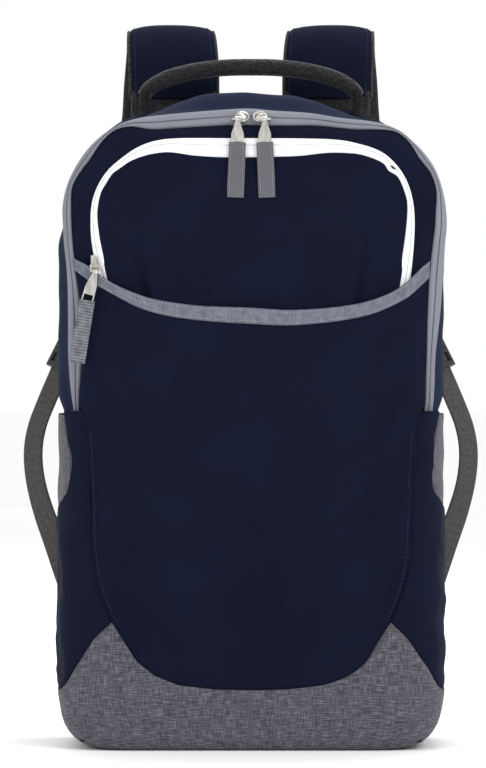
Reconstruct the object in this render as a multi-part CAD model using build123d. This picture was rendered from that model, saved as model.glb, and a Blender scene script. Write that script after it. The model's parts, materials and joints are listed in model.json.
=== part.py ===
from build123d import *
import math
import os

os.makedirs("parts", exist_ok=True)

# School backpack.  Millimetres, +Z up, front faces -Y, +X to the right seen from
# the front.  Origin: centre of the flat base face.

# ---------------------------------------------------------------- driving sizes
BODY_W = 136.5        # half width of the gusset at mid depth
FRONT_W = 136.0       # half width of the front outline
BACK_W = 131.0        # half width of the back panel
BODY_TOP = 483.0      # top of the gusset
FRONT_TOP = 471.0     # top of the front outline
BACK_TOP = 478.0      # top of the back panel
R_TOP = 68.0          # top corner radius of the front outline
R_BOT = 27.0          # bottom corner radius
LIFT = 3.3            # underside of the inner shell above the floor
WALL = 3.0            # fabric + foam of the gusset
Y_BACK = 75.0         # outer face of the back panel
Y_BACK_IN = 69.0
Y_GUS = -61.0         # front edge of the gusset
Y_TAPE = -63.0        # front face of the main zip tape
Y_FRAME = -72.0       # front face of the flap frame / lower front wall
Y_FRONT = -81.0       # front face of the slip pocket
Y_SLIP_IN = -79.0
SPLIT = 250.0         # height of the fold line of the main flap
GAP = 0.5             # half gap along the fold line
POCKET_W = 116.0      # half width of the white pocket zip line
POCKET_TOP = 445.5
POCKET_R = 44.0
POCKET_SILL = 348.5   # lower edge of the pocket mouth
TAPE_IN = 6.0         # width of the body half of the main zip tape
TAPE_FLAP = (8.0, 15.0)
SIDE_X0, SIDE_X1 = 142.5, 144.5   # side pocket wall
SLIDER_X = 10.0       # main sliders sit this far from the centre line
STRAP_T = 5.5         # half thickness of a shoulder pad
WEB_W = 12.5          # half width of the webbing
WEB_T = 1.0           # half thickness of the webbing

MADE = {}


def save(name, shape):
    shape = one(shape)
    MADE[name] = shape
    export_step(shape, "parts/" + name + ".step")


def solids(shape):
    if isinstance(shape, (list, ShapeList)):
        out = []
        for item in shape:
            out += list(item.solids())
        return out
    return list(shape.solids())


def one(shape):
    """The single (or largest) solid of a boolean result."""
    return max(solids(shape), key=lambda s: s.volume)


def both(a, b):
    return one(a.intersect(b))


def less(a, *b):
    out = a
    for item in b:
        out = one(out.cut(item))
    return out


def plus(a, *b):
    return one(a.fuse(*b))


def box(x0, x1, y0, y1, z0, z1):
    x0, x1 = min(x0, x1), max(x0, x1)
    y0, y1 = min(y0, y1), max(y0, y1)
    z0, z1 = min(z0, z1), max(z0, z1)
    return Solid.make_box(x1 - x0, y1 - y0, z1 - z0, Plane((x0, y0, z0)))


def outline(y, w, top, rt, rb, bot=0.0, d=0.0):
    """Rounded-top outline in the plane y, drawn d inside the nominal line."""
    w, top, bot = w - d, top - d, bot + d
    rt, rb = max(rt - d, 1.0), max(rb - d, 1.0)
    k = math.sqrt(0.5)

    def v(x, z):
        return Vector(x, y, z)

    def corner(cx, cz, r, a0, a1):
        am = math.radians((a0 + a1) / 2)
        a0, a1 = math.radians(a0), math.radians(a1)
        return Edge.make_three_point_arc(
            v(cx + r * math.cos(a0), cz + r * math.sin(a0)),
            v(cx + r * math.cos(am), cz + r * math.sin(am)),
            v(cx + r * math.cos(a1), cz + r * math.sin(a1)))

    e = [
        Edge.make_line(v(-w + rb, bot), v(w - rb, bot)),
        corner(w - rb, bot + rb, rb, -90, 0),
        Edge.make_line(v(w, bot + rb), v(w, top - rt)),
        corner(w - rt, top - rt, rt, 0, 90),
        Edge.make_line(v(w - rt, top), v(-w + rt, top)),
        corner(-w + rt, top - rt, rt, 90, 180),
        Edge.make_line(v(-w, top - rt), v(-w, bot + rb)),
        corner(-w + rb, bot + rb, rb, 180, 270),
    ]
    return Wire(e)


def prism(wire, dy):
    return Solid.extrude(Face(wire), Vector(0, dy, 0))


def front_outline(y, d=0.0, bot=LIFT):
    return outline(y, FRONT_W, FRONT_TOP, R_TOP, R_BOT, bot, d)


def ring(y0, y1, d0, d1, base=front_outline):
    a = prism(base(y0, d0), y1 - y0)
    b = prism(base(y0, d1), y1 - y0)
    return less(a, b)


def poly_prism(points, y0, y1):
    """Prism along Y of an XZ polygon."""
    w = Wire.make_polygon([Vector(x, y0, z) for x, z in points], close=True)
    return Solid.extrude(Face(w), Vector(0, y1 - y0, 0))


def plan_prism(points, z0, z1):
    """Prism along Z of an XY polygon."""
    w = Wire.make_polygon([Vector(x, y, z0) for x, y in points], close=True)
    return Solid.extrude(Face(w), Vector(0, 0, z1 - z0))


def side_prism(points, x0, x1):
    """Prism along X of a YZ polygon."""
    w = Wire.make_polygon([Vector(x0, y, z) for y, z in points], close=True)
    return Solid.extrude(Face(w), Vector(x1 - x0, 0, 0))


def mirror_x(shape):
    return shape.mirror(Plane.YZ)


# ------------------------------------------------------------------- body shell
STATIONS = [  # y, half width, top, top radius
    (Y_BACK_IN, BACK_W, BACK_TOP, 70.0),
    (35.0, BODY_W, BODY_TOP, 74.0),
    (-20.0, BODY_W, BODY_TOP - 2, 73.0),
    (Y_GUS, FRONT_W, FRONT_TOP, R_TOP),
]


def shell_loft(d):
    wires = []
    for y, w, top, rt in STATIONS:
        wires.append(outline(y, w, top, rt, R_BOT, LIFT, d))
    return Solid.make_loft(wires, ruled=False)


gusset = less(shell_loft(0.0), shell_loft(WALL))
lower_rim = ring(Y_GUS, -69.0, 0.0, WALL)
lower_rim = both(lower_rim, box(-200, 200, -90, 0, 0, SPLIT - GAP))
Z_SIDE0, Z_SIDE1 = 32.0, 400.0

back_face = outline(Y_BACK_IN, BACK_W, BACK_TOP, 70.0, R_BOT, LIFT)
save("back_panel", prism(back_face, Y_BACK - Y_BACK_IN))

for side, sx in (("left", -1), ("right", 1)):
    zone = box(sx * 60, sx * 200, -90, 90, Z_SIDE0, Z_SIDE1)
    part = plus(both(gusset, zone), both(lower_rim, zone))
    save("side_panel_" + side, part)

save("top_panel", both(gusset, box(-200, 200, -90, 90, Z_SIDE1 + 0.02, 600)))

floor_zone = box(-200, 200, -90, 90, 0, Z_SIDE0 - 0.02)
save("bottom_panel", plus(both(gusset, floor_zone), both(lower_rim, floor_zone)))

# grey heather base: a tray under and around the bottom panel, with the front
# wall rising to two peaks beside the curved front panel
HEATHER = [(-141.9, 43.0), (-137.0, 47.0), (-129.0, 62.0), (-116.0, 82.0), (-101.5, 93.5),
           (-94.0, 81.0), (-84.0, 65.5), (-71.0, 55.0), (-53.0, 48.0), (-27.0, 45.0), (0.0, 44.3),
           (27.0, 45.0), (53.0, 48.0), (71.0, 55.0), (84.0, 65.5), (94.0, 81.0),
           (101.5, 93.5), (116.0, 82.0), (129.0, 62.0), (137.0, 47.0), (141.9, 43.0)]
# seam between the curved front panel and the side pocket wraps
SEAM = [(124.0, SPLIT - GAP), (121.0, 227.0), (119.0, 182.0), (118.0, 152.0), (115.0, 130.0),
        (110.0, 112.0), (102.2, 94.6)]


def tray_outline(y, d=0.0):
    return outline(y, 142.0, 300.0, 20.0, 30.0, 0.0, d)


tray = prism(tray_outline(Y_FRONT), Y_BACK - Y_FRONT)
tray = less(tray, prism(tray_outline(Y_SLIP_IN, 3.0), Y_BACK - Y_SLIP_IN + 1))
walls = both(tray, box(-200, 200, Y_SLIP_IN, 90, -1, 46.0))
face = both(tray, poly_prism([(-142.1, -1), (-142.1, 43.0)] + HEATHER[1:-1] + [(142.1, 43.0), (142.1, -1)],
                             Y_FRONT - 1, Y_SLIP_IN))
save("base_panel", plus(walls, face))

# ------------------------------------------------------------- front, lower half
wall = prism(front_outline(Y_FRAME), 3.0)
save("front_lower_panel", both(wall, box(-200, 200, -90, 0, 0, SPLIT - GAP)))

above_heather = [(-x, z) for x, z in SEAM] + \
    [(x, z + 0.4) for x, z in HEATHER if -101 < x < 101] + list(reversed(SEAM))
u_face = poly_prism(above_heather, Y_FRONT, Y_SLIP_IN)
u_rims = [box(s * 113, s * 115, Y_SLIP_IN, Y_FRAME, 132.0, SPLIT - GAP) for s in (-1, 1)]
save("slip_pocket_lower", plus(u_face, *u_rims))

# side pockets: navy wrap from the front, heather panel behind its swept edge
SWEEP = [(-81.0, 246.0), (-70.0, 222.0), (-58.0, 202.0), (-40.0, 184.0), (-15.0, 170.0),
         (20.0, 161.0), (60.0, 158.0)]
for side, sx in (("left", -1), ("right", 1)):
    wall_x = box(sx * SIDE_X0, sx * SIDE_X1, Y_FRONT, 60.0, 47.0, 247.0)
    heather_zone = side_prism(SWEEP + [(60.0, 260.0), (-81.0, 260.0)], sx * 130, sx * 150)
    heather = both(wall_x, heather_zone)
    back_return = box(sx * 137.3, sx * SIDE_X0, 58.0, 60.0, 158.5, 247.0)
    save("side_pocket_" + side, plus(heather, back_return))
    navy_zone = side_prism([(-81.0, 245.4)] + [(y, z - 0.4) for y, z in SWEEP[1:]] +
                           [(60.0, 40.0), (-81.0, 40.0)], sx * 130, sx * 150)
    navy = both(wall_x, navy_zone)
    lower_edge = [(x, z + 0.5) for x, z in HEATHER if 110 < x < 140]
    edge = [(x + 0.5, z) for x, z in SEAM[1:]] + lower_edge + [(144.5, 47.0)]
    front = poly_prism([(sx * x, z) for x, z in edge + [(144.5, 240.0), (136.0, 245.0), (124.5, 247.0)]],
                       Y_FRONT, Y_SLIP_IN)
    rear = box(sx * 137.3, sx * SIDE_X0, 58.0, 60.0, 47.0, 157.9)
    floor = box(sx * 137.7, sx * SIDE_X0, Y_FRAME, 58.0, 47.0, 49.0)
    save("side_pocket_front_" + side, plus(navy, front, rear, floor))

# ----------------------------------------------------------- main zip and flap
above = box(-200, 200, -100, 100, SPLIT + GAP, 600)
save("main_zip_tape_body", both(ring(Y_TAPE, Y_GUS, 0.0, TAPE_IN), above))
save("main_zip_coil_body", both(ring(Y_GUS, Y_GUS + 1.4, 4.2, TAPE_IN), above))
save("main_zip_tape_flap", both(ring(Y_TAPE, Y_GUS, *TAPE_FLAP), above))
save("main_zip_coil_flap", both(ring(Y_GUS, Y_GUS + 1.4, TAPE_FLAP[0], 9.8), above))
for side, sx in (("left", -1), ("right", 1)):
    save("main_zip_stop_" + side, box(sx * 121.0, sx * 132.9, Y_TAPE, Y_TAPE + 1.6, SPLIT - GAP - 7.0, SPLIT - GAP))

save("flap_lining", both(prism(front_outline(Y_TAPE, TAPE_FLAP[1]), 1.6), above))
flap_wall = both(ring(-70.0, Y_TAPE, 14.0, 16.0), above)
flap_foot = box(-120.0, 120.0, -70.0, Y_TAPE, SPLIT + GAP, SPLIT + GAP + 2)
save("flap_edge_wall", plus(flap_wall, flap_foot))


def pocket_outline(y, d=0.0):
    return outline(y, POCKET_W, POCKET_TOP, POCKET_R, 10.0, 200.0, d)


frame_plate = both(prism(front_outline(Y_FRAME, 14.0), 2.0), above)
window = both(prism(pocket_outline(Y_FRAME - 1), 4.0), box(-200, 200, -100, 0, POCKET_SILL, 600))
save("flap_frame", less(frame_plate, window))

tape_zone = box(-200, 200, -100, 0, POCKET_SILL, 600)
save("pocket_zip_tape_outer",
     both(ring(Y_FRAME, Y_FRAME + 2.0, 0.0, 4.2, pocket_outline), tape_zone))

PANEL_Y0, PANEL_Y1 = -73.6, -72.3
panel = prism(pocket_outline(PANEL_Y0, 9.0), PANEL_Y1 - PANEL_Y0)
save("upper_pocket_panel", both(panel, box(-200, 200, -100, 0, 314.0, 600)))
save("pocket_zip_tape_inner",
     both(ring(PANEL_Y0, PANEL_Y1, 5.6, 9.0, pocket_outline), box(-200, 200, -100, 0, 350.0, 600)))

# slip pocket above the fold line: a shallow dome closed along both sides, with
# a sagging upper edge bound in grosgrain
SMILE = [(-127.5, 356.0), (-119.0, 352.0), (-105.0, 344.5), (-94.0, 336.5), (-80.0, 329.5),
         (-60.0, 325.5), (-30.0, 323.7), (0.0, 323.2), (30.0, 323.7), (60.0, 325.5),
         (80.0, 329.5), (94.0, 336.5), (105.0, 344.5), (119.0, 352.0), (127.5, 356.0)]
BIND = 12.5
dome = [(-127.5, Y_FRAME), (-90.0, Y_FRONT), (90.0, Y_FRONT), (127.5, Y_FRAME),
        (119.5, Y_FRAME), (89.5, Y_SLIP_IN), (-89.5, Y_SLIP_IN), (-119.5, Y_FRAME)]
dome_solid = plan_prism(dome, SPLIT + GAP, 360.0)
under_smile = poly_prism(SMILE + [(127.6, 240.0), (-127.6, 240.0)], -100, 0)
slip_upper = both(dome_solid, under_smile)
save("slip_pocket_upper", slip_upper)
binding_face = [(-127.5, Y_FRAME - 1.2), (-90.2, Y_FRONT - 1.2), (90.2, Y_FRONT - 1.2), (127.5, Y_FRAME - 1.2),
                (127.5, Y_FRAME), (90.0, Y_FRONT), (-90.0, Y_FRONT), (-127.5, Y_FRAME)]
binding = plan_prism(binding_face, 290.0, 365.0)
band = poly_prism(SMILE + [(x, z - BIND) for x, z in reversed(SMILE)], -100, 0)
save("slip_pocket_binding", both(binding, band))

# -------------------------------------------------------------- zip sliders
SL_Z = FRONT_TOP - 7.5
PIN_Y = -77.0


def bail_x(cx, y0, py, z, half=3.7):
    """Bail over a slider that travels along X: two legs and a round bridge."""
    legs = [box(cx + s * half - 0.7, cx + s * half + 0.7, py - 0.7, y0, z - 0.7, z + 0.7) for s in (-1, 1)]
    bridge = Solid.make_cylinder(0.8, 2 * half - 1.4, Plane((cx - half + 0.7, py, z), x_dir=(0, 1, 0), z_dir=(1, 0, 0)))
    return [legs[0], legs[1], bridge]


def pull_plate(cx, py, z, length=24.0, w=10.0):
    """Flat metal pull: knuckle round the bridge, tapered shank, slotted end."""
    t = 0.8
    knuckle = Solid.make_cylinder(2.0, 3.6, Plane((cx - 1.8, py, z), x_dir=(0, 1, 0), z_dir=(1, 0, 0)))
    h = w / 2
    shape = [(cx - 1.8, z - 1.2), (cx - 2.6, z - 5.0), (cx - h + 0.4, z - 11.0), (cx - h, z - length + 2.5),
             (cx - h + 2.2, z - length), (cx + h - 2.2, z - length), (cx + h, z - length + 2.5),
             (cx + h - 0.4, z - 11.0), (cx + 2.6, z - 5.0), (cx + 1.8, z - 1.2)]
    plate = poly_prism(shape, py - t, py + t)
    plate = less(plate, box(cx - 3.4, cx + 3.4, py - 2, py + 2, z - length + 2.4, z - length + 7.4))
    body = plus(knuckle, plate)
    bore = Solid.make_cylinder(1.15, 4.6, Plane((cx - 2.3, py, z), x_dir=(0, 1, 0), z_dir=(1, 0, 0)))
    return less(body, bore)


def pull_ribbon(cx, py, zbar, length=36.0, w=11.5):
    """Folded ribbon: a loop round the lower bar of the metal pull, then two plies."""
    loop = box(cx - 3.0, cx + 3.0, py - 2.7, py + 2.7, zbar - 3.6, zbar + 2.6)
    loop = less(loop, box(cx - 4, cx + 4, py - 1.8, py + 1.8, zbar - 2.1, zbar + 1.75))
    body = box(cx - w / 2, cx + w / 2, py - 1.2, py + 1.2, zbar - length, zbar - 3.2)
    return plus(body, loop)


for side, sx in (("left", -1), ("right", 1)):
    cx = sx * SLIDER_X
    shoe = box(cx - 4.5, cx + 4.5, -65.8, -64.2, SL_Z - 4, SL_Z + 4)
    neck = box(cx - 2, cx + 2, -64.2, -59.3, SL_Z - 0.4, SL_Z + 0.4)
    rear = box(cx - 4.5, cx + 4.5, -59.3, -58.0, SL_Z - 4, SL_Z + 0.4)
    save("main_slider_" + side, plus(shoe, neck, rear, *bail_x(cx, -65.8, PIN_Y, SL_Z)))
    save("main_pull_" + side, pull_plate(cx, PIN_Y, SL_Z))
    save("main_pull_ribbon_" + side, pull_ribbon(cx, PIN_Y, SL_Z - 24 + 1.2))

# pocket slider: travels up the left run of the white zip
PX, PZ = -114.2, 358.5
PPY = -80.8
px0, px1 = -117.8, -110.75
shoe = box(px0, px1, -74.0, -72.3, PZ - 5, PZ + 5)
neck = box(-111.35, px1, -72.3, -69.8, PZ - 2.5, PZ + 2.5)
rear = box(px0, px1, -69.8, -68.4, PZ - 5, PZ + 5)
legs = [box(PX - 0.7, PX + 0.7, PPY - 0.7, -74.0, PZ + s * 3.6 - 0.7, PZ + s * 3.6 + 0.7) for s in (-1, 1)]
LEAN = math.radians(16.0)
pin_len = 6.4
low_z = PZ - 3.6
pin_c = (PX, PPY, low_z - 1.0)
# cross pin under the lower leg, square to the leaning pull
ax = Vector(math.cos(LEAN), 0, -math.sin(LEAN))
pc = Vector(PX, PPY, PZ - 7.0)
pin = Solid.make_cylinder(0.8, pin_len, Plane(tuple(pc - ax * (pin_len / 2)), x_dir=(0, 1, 0), z_dir=tuple(ax)))
arms = []
for s in (-1, 1):
    c = pc + ax * (s * 3.4)
    arms.append(box(c.X - 0.6, c.X + 0.6, PPY - 0.9, PPY + 0.9, c.Z - 1.2, PZ - 3.0))
yoke = box(PX - 4.2, PX + 4.2, PPY - 0.9, PPY + 0.9, PZ - 3.6, PZ - 2.2)
strut = box(PX - 0.7, PX + 0.7, PPY - 0.7, PPY + 0.7, PZ - 3.6, PZ + 4.3)
save("pocket_slider", plus(shoe, neck, rear, *legs, pin, *arms, yoke, strut))
flat = pull_plate(0.0, 0.0, 0.0, 25.0, 9.0)
lean_deg = -16.0


def lean(shape, deg, at):
    """Turn a piece drawn hanging from the origin about Y and move it to at."""
    return shape.rotate(Axis.Y, deg).translate(Vector(*at))


save("pocket_pull", lean(flat, 16.0, (pc.X, pc.Y, pc.Z)))
end = Vector(-math.sin(LEAN), 0, -math.cos(LEAN)) * 23.8
ribbon = pull_ribbon(0.0, 0.0, 0.0, 46.0, 11.5)
save("pocket_pull_ribbon", lean(ribbon, 9.0, (pc.X + end.X, pc.Y, pc.Z + end.Z)))
print("pocket pull pivot", tuple(pc), "axis", tuple(ax))
print("pocket ribbon pivot", (pc.X + end.X, pc.Y, pc.Z + end.Z))

# ---------------------------------------------------------------- back pads
for side, sx in (("left", -1), ("right", 1)):
    save("back_pad_" + side, box(sx * 22.0, sx * 104.0, Y_BACK + 0.02, Y_BACK + 8.0, 150.0, 385.0))
save("back_pad_lower", box(-104.0, 104.0, Y_BACK + 0.02, Y_BACK + 8.0, 72.0, 140.0))

# ------------------------------------------------------------------- handle
HAND = [(-82, 488), (-76, 495.5), (-62, 502.5), (-42, 507.5), (-21, 510), (0, 510.5),
        (21, 510), (42, 507.5), (62, 502.5), (76, 495.5), (82, 488)]
HAND_Y, HAND_R = 60.0, 6.2
sections = []
for i, (x, z) in enumerate(HAND):
    a = HAND[max(i - 1, 0)]
    b = HAND[min(i + 1, len(HAND) - 1)]
    t = Vector(b[0] - a[0], 0, b[1] - a[1]).normalized()
    pl = Plane((x, HAND_Y, z), x_dir=(0, 1, 0), z_dir=tuple(t))
    pts = [pl.from_local_coords(Vector(HAND_R * math.cos(k * math.pi / 6), HAND_R * math.sin(k * math.pi / 6), 0))
           for k in range(12)]
    sections.append(Wire.make_polygon(pts, close=True))
save("grab_handle", Solid.make_loft(sections, ruled=True))
outer_shell = shell_loft(-0.02)
for side, sx in (("left", -1), ("right", 1)):
    tab = solids(box(sx * 70.0, sx * 90.0, 53.0, 67.0, 462.0, 480.0).cut(outer_shell))
    save("handle_tab_" + side, max(tab, key=lambda s: s.center().Z))

# ------------------------------------------------------------------- straps
PAD = [  # x, y, z, half width, width direction (x, y)
    (59, 92, 487, 34, 1, 0), (59, 93.5, 505, 34, 1, 0), (60, 97.5, 523, 34, 1, 0), (61, 105.5, 536, 33.5, 1, 0),
    (62, 116, 541, 33, 1, 0), (63, 127, 536, 32.5, 1, 0), (64, 135, 523, 32, 1, 0), (66, 138, 500, 32, 1, 0),
    (69, 138, 470, 31, 1, 0.0), (75, 136, 440, 30, 1, 0.05), (84, 132, 410, 29, 1, 0.12),
    (96, 126, 380, 27, 1, 0.25), (110, 117, 352, 24, 1, 0.42), (122, 108.5, 330, 20, 1, 0.6)]
WEB = [
    (138.5, 98.6, 298, WEB_W, 0.66, 0.75), (147, 97, 279, WEB_W, 0.62, 0.78), (157, 95.5, 256, WEB_W, 0.6, 0.8),
    (164.5, 94.5, 236, WEB_W, 0.58, 0.81), (167.5, 94, 216, WEB_W, 0.58, 0.81), (165.5, 93, 194, WEB_W, 0.6, 0.8),
    (159, 91.5, 170, WEB_W, 0.66, 0.75), (149, 90, 144, WEB_W, 0.75, 0.66), (138, 88.5, 116, WEB_W, 0.86, 0.5),
    (127, 87, 90, WEB_W, 0.93, 0.35), (119, 86, 70, WEB_W, 0.96, 0.25)]
TAB = [(120.2, 109.6, 333, WEB_W, 1, 0.6), (126, 105.8, 321.5, WEB_W, 0.9, 0.66), (131.2, 102.6, 311, WEB_W, 0.78, 0.7)]


def frames(path):
    out = []
    n = len(path)
    for i, (x, y, z, hw, ux, uy) in enumerate(path):
        a, b = path[max(i - 1, 0)], path[min(i + 1, n - 1)]
        t = Vector(b[0] - a[0], b[1] - a[1], b[2] - a[2]).normalized()
        u = Vector(ux, uy, 0)
        u = (u - t * u.dot(t)).normalized()
        nrm = t.cross(u)
        out.append((Vector(x, y, z), u, nrm, t, hw))
    return out


def ribbon_solid(path, t0, t1):
    wires = []
    for c, u, nrm, t, hw in frames(path):
        pts = [c + u * hw + nrm * t0, c - u * hw + nrm * t0, c - u * hw + nrm * t1, c + u * hw + nrm * t1]
        wires.append(Wire.make_polygon(pts, close=True))
    return Solid.make_loft(wires, ruled=True)


pad = ribbon_solid(PAD, -STRAP_T, 2.5)
mesh = ribbon_solid(PAD, 2.52, STRAP_T)
web = ribbon_solid(WEB, -WEB_T, WEB_T)
tab = less(ribbon_solid(TAB, -WEB_T, WEB_T), pad, mesh)

# ladder lock: moulded frame with two slots
c0, c1 = Vector(128.2, 104.4, 317), Vector(146.5, 97.2, 280)
t = (c1 - c0).normalized()
u = Vector(0.72, 0.7, 0)
u = (u - t * u.dot(t)).normalized()
nrm = t.cross(u)
mid = (c0 + c1) * 0.5
lp = Plane(tuple(mid), x_dir=tuple(u), z_dir=tuple(nrm))


def local_box(x0, x1, y0, y1, z0, z1):
    b = box(x0, x1, y0, y1, z0, z1)
    return b.moved(lp.location)


lock = local_box(-16, 16, -20.5, 20.5, -2.6, 2.6)
# plane y runs against or along the strap; both slots are cut symmetrically
lock = less(lock, local_box(-13, 13, -16.5, -9.0, -4, 4), local_box(-13, 13, 8.0, 16.5, -4, 4),
            local_box(-13, 13, -6.0, 5.0, -4, 4))
web_r = less(web, lock)
tab_r = less(tab, lock)
for side in ("right", "left"):
    flip = (lambda s: s) if side == "right" else mirror_x
    save("strap_pad_" + side, flip(pad))
    save("strap_mesh_" + side, flip(mesh))
    save("strap_webbing_" + side, flip(web_r))
    save("strap_buckle_tab_" + side, flip(tab_r))
    save("ladder_lock_" + side, flip(lock))
    sx = 1 if side == "right" else -1
    save("strap_yoke_" + side, box(sx * 25.0, sx * 93.0, Y_BACK + 0.02, Y_BACK + 9.0, 404.0, 476.0))
    anchor = poly_prism([(sx * 131.0, 16.0), (sx * 131.0, 52.0), (sx * 122.0, 58.0), (sx * 104.0, 58.0),
                         (sx * 96.0, 48.0), (sx * 96.0, 30.0), (sx * 110.0, 12.0)], Y_BACK + 0.02, Y_BACK + 3.0)
    anchor = both(anchor, prism(outline(Y_BACK, BACK_W, BACK_TOP, 70, R_BOT, LIFT), 4.0))
    save("webbing_anchor_" + side, anchor)

print(len(MADE), "nodes")
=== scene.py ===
import json
import math
import bpy
import numpy as np
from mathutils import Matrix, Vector

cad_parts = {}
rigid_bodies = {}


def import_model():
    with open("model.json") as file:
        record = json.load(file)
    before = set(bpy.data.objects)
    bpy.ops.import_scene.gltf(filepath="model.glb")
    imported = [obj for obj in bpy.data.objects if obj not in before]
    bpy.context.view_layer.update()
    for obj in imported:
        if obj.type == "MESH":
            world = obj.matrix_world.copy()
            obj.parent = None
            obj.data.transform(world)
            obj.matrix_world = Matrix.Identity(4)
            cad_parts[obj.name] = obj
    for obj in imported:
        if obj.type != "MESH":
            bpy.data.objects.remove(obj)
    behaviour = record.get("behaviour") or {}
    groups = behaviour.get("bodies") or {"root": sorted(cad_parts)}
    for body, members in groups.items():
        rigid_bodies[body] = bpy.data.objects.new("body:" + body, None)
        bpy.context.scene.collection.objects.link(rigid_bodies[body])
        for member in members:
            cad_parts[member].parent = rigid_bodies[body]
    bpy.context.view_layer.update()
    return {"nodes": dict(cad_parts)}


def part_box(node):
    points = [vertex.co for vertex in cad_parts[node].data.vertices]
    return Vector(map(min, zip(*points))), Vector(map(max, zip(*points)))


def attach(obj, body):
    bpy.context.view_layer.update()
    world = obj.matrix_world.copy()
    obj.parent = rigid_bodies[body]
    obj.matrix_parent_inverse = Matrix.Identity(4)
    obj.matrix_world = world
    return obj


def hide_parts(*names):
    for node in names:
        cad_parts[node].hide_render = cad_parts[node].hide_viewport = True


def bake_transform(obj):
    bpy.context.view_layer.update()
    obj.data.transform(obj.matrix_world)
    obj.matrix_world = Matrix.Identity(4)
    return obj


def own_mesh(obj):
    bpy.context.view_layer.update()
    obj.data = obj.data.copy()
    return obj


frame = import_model()

# ------------------------------------------------------------------ curves and grids, in mm
def A(p):
    return np.asarray(p, float)

def catmull(pts, n=8):
    p = A(pts)
    p = np.vstack([2 * p[0] - p[1], p, 2 * p[-1] - p[-2]])
    out = []
    for i in range(1, len(p) - 2):
        t = np.linspace(0, 1, n, endpoint=False)[:, None]
        a, b, c, d = p[i - 1], p[i], p[i + 1], p[i + 2]
        out.append(0.5 * (2 * b + (c - a) * t + (2 * a - 5 * b + 4 * c - d) * t ** 2 + (3 * b - a - 3 * c + d) * t ** 3))
    out.append(p[-2][None, :])
    return np.vstack(out)

def cum(p):
    return np.concatenate([[0], np.cumsum(np.linalg.norm(np.diff(A(p), axis=0), axis=1))])

def resample(p, n, u=None):
    p = A(p); c = cum(p)
    u = np.linspace(0, 1, n) if u is None else A(u)
    return np.stack([np.interp(u * c[-1], c, p[:, k]) for k in range(p.shape[1])], 1)

def smooth(a, b, x):
    t = np.clip((A(x) - a) / (b - a), 0, 1)
    return t * t * (3 - 2 * t)

def noise(x, y, size, seed=0):
    """Smooth, repeatable, about -1..1, with features of that size."""
    r = np.random.RandomState(seed)
    v = 0
    for k in range(9):
        an, ph, f = r.uniform(0, math.tau), r.uniform(0, math.tau), r.uniform(0.6, 1.7) / size
        v = v + np.sin(math.tau * f * (math.cos(an) * A(x) + math.sin(an) * A(y)) + ph)
    return v / 4.2

def dist_poly(x, z, poly):
    """Distance from points to a polyline in the same plane."""
    x, z = A(x), A(z); best = np.full(x.shape, 1e9); q = A(poly)
    for a, b in zip(q[:-1], q[1:]):
        d = b - a; L = max(d @ d, 1e-9)
        t = np.clip(((x - a[0]) * d[0] + (z - a[1]) * d[1]) / L, 0, 1)
        best = np.minimum(best, np.hypot(x - a[0] - t * d[0], z - a[1] - t * d[1]))
    return best

def mesh(name, V, F, mat, uv=None, shade=True):
    me = bpy.data.meshes.new(name)
    me.from_pydata([tuple(v) for v in A(V) / 1000], [], [tuple(int(i) for i in f) for f in F])
    if uv is not None:
        lay = me.uv_layers.new(name="cloth")
        idx = np.zeros(len(me.loops), int); me.loops.foreach_get("vertex_index", idx)
        lay.data.foreach_set("uv", (A(uv)[idx] / 1000).astype(np.float32).ravel())
    me.polygons.foreach_set("use_smooth", [shade] * len(me.polygons))
    ob = bpy.data.objects.new(name, me)
    bpy.context.scene.collection.objects.link(ob)
    for m in (mat if isinstance(mat, (list, tuple)) else [mat]):
        me.materials.append(m)
    return ob

def grid(name, P, mat, wrap=False, out=None, thick=0, lining=None, sub=0, caps=False, uv=None):
    """A quad sheet from P (rows, columns, 3) in mm. out is a direction that sets which way it faces."""
    P = A(P); R, C = P.shape[:2]
    if uv is None:
        d = np.linalg.norm(np.diff(P, axis=1), axis=2).mean(0)
        e = np.linalg.norm(np.diff(P, axis=0), axis=2).mean(1)
        U, W = np.meshgrid(np.concatenate([[0], np.cumsum(d)]), np.concatenate([[0], np.cumsum(e)]))
        uv = np.stack([U, W], 2)
    F = []
    for r in range(R - 1):
        for c in range(C if wrap else C - 1):
            d = (c + 1) % C
            F.append((r * C + c, r * C + d, (r + 1) * C + d, (r + 1) * C + c))
    if caps:
        F.append(tuple(range(C))[::-1]); F.append(tuple((R - 1) * C + c for c in range(C)))
    V = P.reshape(-1, 3)
    if out is not None:
        f = A(F[(R // 2 - (1 if R > 2 else 0)) * (C if wrap else C - 1) + C // 2]).astype(int)
        n = np.cross(V[f[2]] - V[f[0]], V[f[3]] - V[f[1]])
        if n @ A(out) < 0:
            F = [f[::-1] for f in F]
    ob = mesh(name, V, F, [mat] + ([lining] if lining else []), uv.reshape(-1, 2))
    if thick:
        m = ob.modifiers.new("thick", "SOLIDIFY"); m.thickness = thick / 1000; m.offset = -1
        if lining:
            m.material_offset = 1; m.material_offset_rim = 0
    if sub:
        m = ob.modifiers.new("sub", "SUBSURF"); m.levels = m.render_levels = sub
    return ob

def coons(top, bottom, left, right, nu, nv):
    """Surface between four 2-D curves: top/bottom run left to right, left/right run top to bottom."""
    T, B, L, Rt = resample(top, nu), resample(bottom, nu), resample(left, nv), resample(right, nv)
    u = np.linspace(0, 1, nu)[None, :, None]; v = np.linspace(0, 1, nv)[:, None, None]
    return ((1 - v) * T[None] + v * B[None] + (1 - u) * L[:, None] + u * Rt[:, None]
            - ((1 - u) * (1 - v) * T[0] + u * (1 - v) * T[-1] + (1 - u) * v * B[0] + u * v * B[-1]))

def frames(path, up=None):
    p = A(path); t = np.gradient(p, axis=0); t /= np.linalg.norm(t, axis=1)[:, None]
    return p, t

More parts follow.
